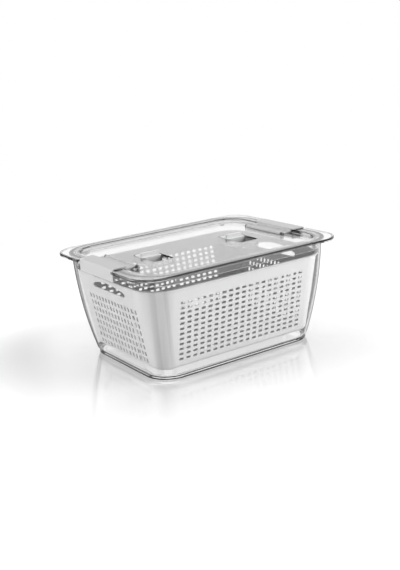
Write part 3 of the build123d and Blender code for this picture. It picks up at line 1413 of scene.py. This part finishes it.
@dataclass(frozen=True)
class VentSlider:
    """A grey slider: an inverted tray with guide tongues and a grip bar."""

    lid: Lid
    side: Side
    half_x: float = 13.7
    front_y: float = 0.3
    back_y: float = 24.7
    corner: float = 3.7
    corner_steps: int = 8
    low_gap: float = 0.3
    depth: float = 8.0
    proud: float = 0.2
    plate: float = 1.8
    skirt: float = 1.6
    top_round: float = 0.5
    top_round_middle: float = 0.15
    tongue_reach: float = 1.2
    tongue_low: float = 3.0
    tongue_height: float = 1.1
    grip_length: float = 26.0
    grip_depth: float = 3.6
    grip_height: float = 4.8
    grip_setback: float = 6.0
    grip_sink: float = 0.5
    grip_round: float = 0.7
    grip_segments: int = 3
    grip_angle: float = 25.0

    def tray(self) -> bmesh.types.BMesh:
        """The inverted tray with its skirt.

        Returns:
            The tray as a closed shape.
        """
        low = self.lid.panel_z - self.depth + self.low_gap
        high = self.lid.panel_z + self.proud
        half_y = (self.back_y - self.front_y) / 2
        plan = RoundedPlan(self.half_x - self.corner, half_y - self.corner, self.corner_steps)
        inside = self.corner - self.skirt
        section = [
            (inside, high - self.plate), (inside, low), (self.corner, low),
            (self.corner, high - self.top_round),
            (self.corner - self.top_round_middle, high - self.top_round_middle),
            (self.corner - self.top_round, high),
        ]
        return move(plan.solid(section), y=self.front_y + half_y)

    def grip(self) -> bmesh.types.BMesh:
        """The raised bar that a fingertip pushes.

        Returns:
            The bar as a closed shape.
        """
        high = self.lid.panel_z + self.proud
        y = self.front_y + self.grip_setback
        low_corner = Vector((-self.grip_length / 2, y, high - self.grip_sink))
        high_corner = Vector((self.grip_length / 2, y + self.grip_depth, high + self.grip_height))
        shape = block(low_corner, high_corner)
        soften(shape, self.grip_round, self.grip_segments, self.grip_angle)
        return shape

    def tongue(self, way: int) -> bmesh.types.BMesh:
        """The guide tongue along one side.

        Args:
            way: 1 for the side towards +X, -1 for the other.

        Returns:
            The tongue as a closed shape.
        """
        low = self.lid.panel_z - self.depth + self.tongue_low
        xs = sorted((way * (self.half_x - self.skirt / 2), way * (self.half_x + self.tongue_reach)))
        low_corner = Vector((xs[0], self.front_y + self.corner, low))
        high_corner = Vector((xs[1], self.back_y - self.corner, low + self.tongue_height))
        return block(low_corner, high_corner)

    def build(self, palette: Palette) -> None:
        """Builds the slider in its open place in its well.

        Args:
            palette: the bin's finishes.
        """
        parts = [("UNION", self.grip()), ("UNION", self.tongue(-1)), ("UNION", self.tongue(1))]
        x = self.lid.vent_x if self.side is Side.RIGHT else -self.lid.vent_x
        shape = move(carve(self.tray(), parts), x=x)
        end = self.side.name.lower()
        body = Body[f"VENT_{self.side.name}"]
        finish_piece(shape, f"vent_shutter_{end}", f"vent_slider_{end}", body, palette.slider)


# The studio


@dataclass(frozen=True)
class Lamp:
    """A large soft lamp, in metres and watts, that faces the bin and shows in no mirror image."""

    name: str
    place: tuple[float, float, float]
    size: float
    power: float
    target_z: float = 0.07

    def build(self) -> None:
        """Hangs the lamp."""
        data = bpy.data.lights.new(self.name, "AREA")
        data.shape = "SQUARE"
        data.size = self.size
        data.energy = self.power
        lamp = bpy.data.objects.new(self.name, data)
        place = Vector(self.place)
        turn = (Vector((0.0, 0.0, self.target_z)) - place).to_track_quat("-Z", "Y")
        lamp.matrix_world = Matrix.Translation(place) @ turn.to_matrix().to_4x4()
        lamp.visible_camera = False
        lamp.visible_glossy = False
        lamp.visible_transmission = False
        bpy.context.scene.collection.objects.link(lamp)


@dataclass(frozen=True)
class Studio:
    """The plain white studio and the camera at the photograph's viewpoint, in metres and degrees."""

    azimuth: float = -33.76
    elevation: float = 15.77
    roll: float = -3.79
    distance: float = 1.1706
    shift_right: float = -0.0039
    shift_up: float = 0.0756
    lens: float = 55.8
    sensor: float = 36.0
    near: float = 0.01
    floor_size: float = 8.0
    floor_gap: float = 0.0003
    floor_shade: float = 0.8
    ambient: float = 0.42
    mirror: float = 0.5
    mirror_roughness: float = 0.1
    mirror_box: Point = (0.125, 0.095)
    mirror_reach: float = 0.15
    glow: float = 0.24
    fade_start: float = 0.35
    fade_end: float = 0.8
    side_stops: tuple[Point, ...] = (
        (0.0, 0.6), (0.1, 0.35), (0.22, 0.6), (0.27, 0.05), (0.38, 0.02), (0.4, 1.0),
        (0.6, 1.0), (0.62, 0.03), (0.69, 0.08), (0.73, 0.85), (1.0, 0.8),
    )
    high_stops: tuple[Point, ...] = (
        (0.0, 1.0), (0.30, 1.0), (0.42, 0.5), (0.62, 0.4), (0.8, 0.9), (1.0, 1.0),
    )
    lamps: tuple[Lamp, ...] = (
        Lamp("overhead_softbox", (0.2, 0.3, 1.7), 1.2, 6.5),
        Lamp("right_softbox", (1.5, -1.1, 0.7), 1.4, 41.0),
        Lamp("left_softbox", (-1.6, 1.0, 0.7), 1.4, 31.0),
    )

    def axes(self) -> tuple[Vector, Vector, Vector]:
        """The camera's own directions.

        Returns:
            Its right, up and backward directions.
        """
        az, el, roll = (math.radians(angle) for angle in (self.azimuth, self.elevation, self.roll))
        back = Vector((math.sin(az) * math.cos(el), -math.cos(az) * math.cos(el), math.sin(el)))
        level_right = (-back).cross(Vector(UP)).normalized()
        level_up = level_right.cross(-back)
        right = level_right * math.cos(roll) + level_up * math.sin(roll)
        up = level_up * math.cos(roll) - level_right * math.sin(roll)
        return right, up, back

    def camera(self) -> None:
        """Sets the camera, which looks along the bin's view direction without pointing at its centre."""
        right, up, back = self.axes()
        place = back * self.distance + right * self.shift_right + up * self.shift_up
        data = bpy.data.cameras.new("photo_camera")
        data.lens = self.lens
        data.sensor_width = self.sensor
        data.clip_start = self.near
        camera = bpy.data.objects.new("photo_camera", data)
        turn = Matrix((right, up, back)).transposed().to_4x4()
        camera.matrix_world = Matrix.Translation(place) @ turn
        bpy.context.scene.collection.objects.link(camera)
        bpy.context.scene.camera = camera

    def flag(
        self, tree: bpy.types.NodeTree, value: bpy.types.NodeSocket, stops: tuple[Point, ...]
    ) -> bpy.types.NodeSocket:
        """A grey ramp that stands for dark flags beside or above the bin.

        Args:
            tree: the world's node tree.
            value: the socket that the ramp reads.
            stops: (place, grey) pairs in order.

        Returns:
            The ramp's colour socket.
        """
        ramp = add_node(tree, "ShaderNodeValToRGB", {"Fac": value})
        elements = ramp.color_ramp.elements
        for stop, (place, level) in zip((elements[0], elements[1]), (stops[0], stops[-1])):
            stop.position = place
            stop.color = (*grey(level), 1.0)
        for place, level in stops[1:-1]:
            elements.new(place).color = (*grey(level), 1.0)
        return ramp.outputs["Color"]

    def world(self) -> None:
        """A white world for the camera, reflections and refractions, and a plain level for the rest."""
        world = bpy.data.worlds.new("white_studio")
        world.use_nodes = True
        tree = world.node_tree
        path = add_node(tree, "ShaderNodeLightPath").outputs
        seen = reckon(tree, "MAXIMUM", path["Is Glossy Ray"], path["Is Transmission Ray"])
        direction = add_node(tree, "ShaderNodeTexCoord").outputs["Generated"]
        aside = reckon_vector(tree, "DOT_PRODUCT", direction, tuple(self.axes()[0])).outputs["Value"]
        flank = add_node(tree, "ShaderNodeMapRange", {"Value": aside, "From Min": -1.0}).outputs["Result"]
        height = add_node(tree, "ShaderNodeSeparateXYZ", {"Vector": direction}).outputs["Z"]
        flags = add_node(
            tree, "ShaderNodeMix",
            {
                "Factor": 1.0, "A": self.flag(tree, flank, self.side_stops),
                "B": self.flag(tree, height, self.high_stops),
            },
            data_type="RGBA", blend_type="MULTIPLY",
        )
        plain = add_node(
            tree, "ShaderNodeMix",
            {"Factor": seen, "A": (*grey(self.ambient), 1.0), "B": flags.outputs["Result"]},
            data_type="RGBA",
        )
        final = add_node(
            tree, "ShaderNodeMix",
            {"Factor": path["Is Camera Ray"], "A": plain.outputs["Result"], "B": (*grey(1.0), 1.0)},
            data_type="RGBA",
        )
        tree.links.new(final.outputs["Result"], tree.nodes["Background"].inputs["Color"])
        bpy.context.scene.world = world

    def mirror_share(self, tree: bpy.types.NodeTree, place: bpy.types.NodeSocket) -> bpy.types.NodeSocket:
        """How much the floor mirrors: most under the bin, and none past a short way from it.

        Args:
            tree: the floor's node tree.
            place: the floor's own coordinates.

        Returns:
            The socket that gives the share.
        """
        size = reckon_vector(tree, "ABSOLUTE", place).outputs["Vector"]
        beyond = reckon_vector(tree, "SUBTRACT", size, (*self.mirror_box, 1.0)).outputs["Vector"]
        outside = reckon_vector(tree, "MAXIMUM", beyond, (0.0, 0.0, 0.0)).outputs["Vector"]
        away = reckon_vector(tree, "LENGTH", outside).outputs["Value"]
        share = add_node(
            tree, "ShaderNodeMapRange",
            {"Value": away, "From Max": self.mirror_reach, "To Min": self.mirror, "To Max": 0.0},
        )
        return share.outputs["Result"]

    def blend(
        self, tree: bpy.types.NodeTree, share: bpy.types.NodeSocket, first: bpy.types.Node,
        second: bpy.types.Node,
    ) -> bpy.types.Node:
        """Mixes two shaders of the floor.

        Args:
            tree: the floor's node tree.
            share: the share of the second shader.
            first: the shader where the share is nothing.
            second: the shader where the share is one.

        Returns:
            The mixing node.
        """
        inputs = {"Fac": share, 1: first.outputs[0], 2: second.outputs[0]}
        return add_node(tree, "ShaderNodeMixShader", inputs)

    def floor_material(self) -> bpy.types.Material:
        """A pale floor that mirrors faintly, fades to white far away and shows in no mirror image.

        Returns:
            The floor's material.
        """
        material, shader, output = empty_material("studio_floor")
        tree = material.node_tree
        tree.nodes.remove(shader)
        path = add_node(tree, "ShaderNodeLightPath").outputs
        place = add_node(tree, "ShaderNodeTexCoord").outputs["Object"]
        matt = add_node(tree, "ShaderNodeBsdfDiffuse", {"Color": (*grey(self.floor_shade), 1.0)})
        power = reckon(tree, "MULTIPLY", path["Is Camera Ray"], self.glow)
        glow = add_node(tree, "ShaderNodeEmission", {"Strength": power})
        pale = add_node(tree, "ShaderNodeAddShader", {0: matt.outputs[0], 1: glow.outputs[0]})
        gloss = add_node(
            tree, "ShaderNodeBsdfAnisotropic",
            {"Color": (*grey(1.0), 1.0), "Roughness": self.mirror_roughness},
        )
        share = self.mirror_share(tree, place)
        near = self.blend(tree, share, pale, gloss)
        reach = reckon_vector(tree, "LENGTH", place).outputs["Value"]
        fade = add_node(
            tree, "ShaderNodeMapRange",
            {"Value": reach, "From Min": self.fade_start, "From Max": self.fade_end},
        )
        distant = reckon(tree, "MULTIPLY", fade.outputs["Result"], path["Is Camera Ray"])
        white = add_node(tree, "ShaderNodeEmission")
        far = self.blend(tree, distant, near, white)
        through = reckon(tree, "MAXIMUM", path["Is Glossy Ray"], path["Is Transmission Ray"])
        clear = add_node(tree, "ShaderNodeBsdfTransparent")
        final = self.blend(tree, through, far, clear)
        tree.links.new(final.outputs[0], output.inputs["Surface"])
        return material

    def floor(self) -> None:
        """Lays the floor, which keeps the bin's shadow, just under the bin."""
        shape = bmesh.new()
        bmesh.ops.create_grid(shape, x_segments=1, y_segments=1, size=self.floor_size / 2)
        floor = loose_object(move(shape, z=-self.floor_gap), "studio_floor")
        floor.data.materials.append(self.floor_material())

    def build(self) -> None:
        """Sets camera, world, floor, lamps and view."""
        self.camera()
        self.world()
        self.floor()
        for lamp in self.lamps:
            lamp.build()
        bpy.context.scene.view_settings.view_transform = "Standard"


def main() -> None:
    """Builds the studio and the bin's pieces in order."""
    logging.basicConfig(level=logging.INFO, format="%(message)s")
    Studio().build()
    palette = Palette()
    form = WallForm()
    Container(form).build(palette)
    DrainBasket(form).build(palette)
    lid = Lid(form)
    lid.build(palette)
    for side in Side:
        SnapClip(lid, side).build(palette)
        VentSlider(lid, side).build(palette)


if __name__ == "__main__":
    main()
